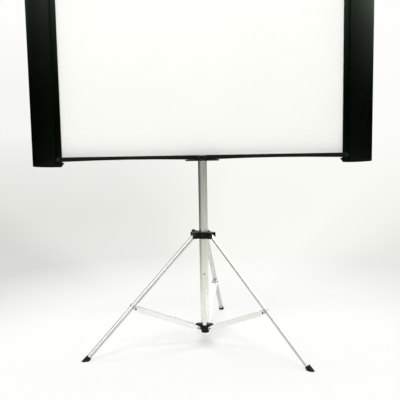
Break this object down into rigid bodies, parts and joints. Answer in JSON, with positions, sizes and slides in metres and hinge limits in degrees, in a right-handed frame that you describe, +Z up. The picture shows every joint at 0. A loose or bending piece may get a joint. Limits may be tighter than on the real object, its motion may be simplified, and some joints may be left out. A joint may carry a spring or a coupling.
{
  "type": "tripod projector screen",
  "caption": "Portable white projection screen stretched between two black upright housings, on folding arms and a braced tripod stand.",
  "frame": {"origin": "on the floor, under the middle of the overall footprint", "axes": "+Z up, -Y towards the viewer of the white face, +X to the viewer's right"},
  "size_m": [1.613, 0.9914, 1.953],
  "materials": {
    "arm_black": "satin black powder coat",
    "housing_black": "satin black lacquer",
    "roller_grey": "plain tube",
    "rubber": "matt black",
    "screen_white": "matt white coating",
    "silver": "satin anodised",
    "stand_black": "moulded black",
    "steel": "zinc plated"
  },
  "bodies": {
    "stand": {"centre_pole": "silver", "pole_screw": "stand_black", "brace_hub": "stand_black", "stand_head": "stand_black"},
    "collar": {"leg_collar": "stand_black", "leg_pin_1": "steel", "leg_pin_2": "steel", "leg_pin_3": "steel"},
    "knob": {"clamp_knob": "stand_black"},
    "leg_1": {"leg_tube_1": "silver", "leg_eye_1": "stand_black", "foot_boot_1": "rubber", "brace_clip_1": "silver", "brace_pin_1": "steel"},
    "leg_2": {"leg_tube_2": "silver", "leg_eye_2": "stand_black", "foot_boot_2": "rubber", "brace_clip_2": "silver", "brace_pin_2": "steel"},
    "leg_3": {"leg_tube_3": "silver", "leg_eye_3": "stand_black", "foot_boot_3": "rubber", "brace_clip_3": "silver", "brace_pin_3": "steel"},
    "brace_1": {"brace_1": "silver", "hub_rivet_1_left": "steel", "hub_rivet_1_right": "steel"},
    "brace_2": {"brace_2": "silver", "hub_rivet_2_left": "steel", "hub_rivet_2_right": "steel"},
    "brace_3": {"brace_3": "silver", "hub_rivet_3_left": "steel", "hub_rivet_3_right": "steel"},
    "lower_knuckle": {"lower_knuckle": "arm_black", "lower_knuckle_rivet_left": "steel", "lower_knuckle_rivet_right": "steel"},
    "lower_arm_left": {"lower_arm_left": "arm_black"},
    "lower_arm_right": {"lower_arm_right": "arm_black"},
    "housing_left": {"housing_left": "housing_black", "lower_cap_left": "housing_black", "upper_cap_left": "housing_black", "lower_pivot_bolt_left": "steel", "upper_pivot_bolt_left": "steel", "roller_bearing_lower": "stand_black", "roller_bearing_upper": "stand_black", "screen_fabric": "screen_white"},
    "housing_right": {"housing_right": "housing_black", "lower_cap_right": "housing_black", "upper_cap_right": "housing_black", "lower_pivot_bolt_right": "steel", "upper_pivot_bolt_right": "steel", "fabric_clamp_bar": "steel"},
    "upper_arm_left": {"upper_arm_left": "arm_black"},
    "upper_arm_right": {"upper_arm_right": "arm_black"},
    "upper_knuckle": {"upper_knuckle": "arm_black", "upper_knuckle_rivet_left": "steel", "upper_knuckle_rivet_right": "steel"},
    "roller": {"spring_roller": "roller_grey"}
  },
  "joints": [
    {"name": "screen_lift", "type": "slide", "parent": "stand", "child": "lower_knuckle", "axis": [0, 0, 1], "range_m": [0, 0.75]},
    {"name": "lower_arm_left_fold", "type": "hinge", "parent": "lower_knuckle", "child": "lower_arm_left", "pos_m": [-0.015, -0.10555, 0.9065], "axis": [0, -1, 0], "range_deg": [0, 90]},
    {"name": "lower_arm_right_fold", "type": "hinge", "parent": "lower_knuckle", "child": "lower_arm_right", "pos_m": [0.015, -0.10555, 0.9065], "axis": [0, 1, 0], "range_deg": [0, 90]},
    {"name": "housing_left_swing", "type": "hinge", "parent": "lower_arm_left", "child": "housing_left", "pos_m": [-0.675, -0.10555, 0.9065], "axis": [0, 1, 0], "range_deg": [0, 90], "deforming": ["screen_fabric"]},
    {"name": "housing_right_swing", "type": "hinge", "parent": "lower_arm_right", "child": "housing_right", "pos_m": [0.675, -0.10555, 0.9065], "axis": [0, -1, 0], "range_deg": [0, 90]},
    {"name": "upper_arm_left_fold", "type": "hinge", "parent": "housing_left", "child": "upper_arm_left", "pos_m": [-0.675, -0.09135, 1.9185], "axis": [0, 1, 0], "range_deg": [0, 90]},
    {"name": "upper_arm_right_fold", "type": "hinge", "parent": "housing_right", "child": "upper_arm_right", "pos_m": [0.675, -0.09135, 1.9185], "axis": [0, -1, 0], "range_deg": [0, 90]},
    {"name": "upper_knuckle_fold", "type": "hinge", "parent": "upper_arm_left", "child": "upper_knuckle", "pos_m": [-0.015, -0.09135, 1.9185], "axis": [0, -1, 0], "range_deg": [0, 90]},
    {"name": "roller_spin", "type": "hinge", "parent": "housing_left", "child": "roller", "pos_m": [-0.7355, -0.05775, 0.9065], "axis": [0, 0, -1], "range_deg": [0, 4200]},
    {"name": "collar_slide", "type": "slide", "parent": "stand", "child": "collar", "axis": [0, 0, 1], "range_m": [0, 0.31954]},
    {"name": "knob_turn", "type": "hinge", "parent": "collar", "child": "knob", "pos_m": [0, -0.10555, 0.5484], "axis": [-0.7738, 0.6334, 0], "range_deg": [0, 720]},
    {"name": "leg_1_fold", "type": "hinge", "parent": "collar", "child": "leg_1", "pos_m": [-0.04818, -0.12375, 0.534], "axis": [0.3535, -0.9354, 0], "range_deg": [0, 43.13]},
    {"name": "leg_2_fold", "type": "hinge", "parent": "collar", "child": "leg_2", "pos_m": [0.03985, -0.13817, 0.534], "axis": [0.6334, 0.7738, 0], "range_deg": [0, 43.13]},
    {"name": "leg_3_fold", "type": "hinge", "parent": "collar", "child": "leg_3", "pos_m": [0.00832, -0.05472, 0.534], "axis": [-0.9869, 0.1616, 0], "range_deg": [0, 43.13]},
    {"name": "brace_1_fold", "type": "hinge", "parent": "leg_1", "child": "brace_1", "pos_m": [-0.32456, -0.22819, 0.21989], "axis": [-0.3535, 0.9354, 0], "range_deg": [0, 107.72]},
    {"name": "brace_2_fold", "type": "hinge", "parent": "leg_2", "child": "brace_2", "pos_m": [0.26849, -0.3253, 0.21989], "axis": [-0.6334, -0.7738, 0], "range_deg": [0, 107.72]},
    {"name": "brace_3_fold", "type": "hinge", "parent": "leg_3", "child": "brace_3", "pos_m": [0.05607, 0.23685, 0.21989], "axis": [0.9869, -0.1616, 0], "range_deg": [0, 107.72]}
  ],
  "couplings": [
    {"joint": "lower_arm_left_fold", "follows": "screen_lift", "rad_per_m": 2.0944},
    {"joint": "lower_arm_right_fold", "follows": "screen_lift", "rad_per_m": 2.0944},
    {"joint": "housing_left_swing", "follows": "screen_lift", "rad_per_m": 2.0944},
    {"joint": "housing_right_swing", "follows": "screen_lift", "rad_per_m": 2.0944},
    {"joint": "upper_arm_left_fold", "follows": "screen_lift", "rad_per_m": 2.0944},
    {"joint": "upper_arm_right_fold", "follows": "screen_lift", "rad_per_m": 2.0944},
    {"joint": "upper_knuckle_fold", "follows": "screen_lift", "rad_per_m": 2.0944},
    {"joint": "roller_spin", "follows": "screen_lift", "rad_per_m": 97.738},
    {"joint": "leg_1_fold", "follows": "collar_slide", "rad_per_m": 2.356},
    {"joint": "leg_2_fold", "follows": "collar_slide", "rad_per_m": 2.356},
    {"joint": "leg_3_fold", "follows": "collar_slide", "rad_per_m": 2.356},
    {"joint": "brace_1_fold", "follows": "collar_slide", "rad_per_m": 5.8834},
    {"joint": "brace_2_fold", "follows": "collar_slide", "rad_per_m": 5.8834},
    {"joint": "brace_3_fold", "follows": "collar_slide", "rad_per_m": 5.8834}
  ]
}
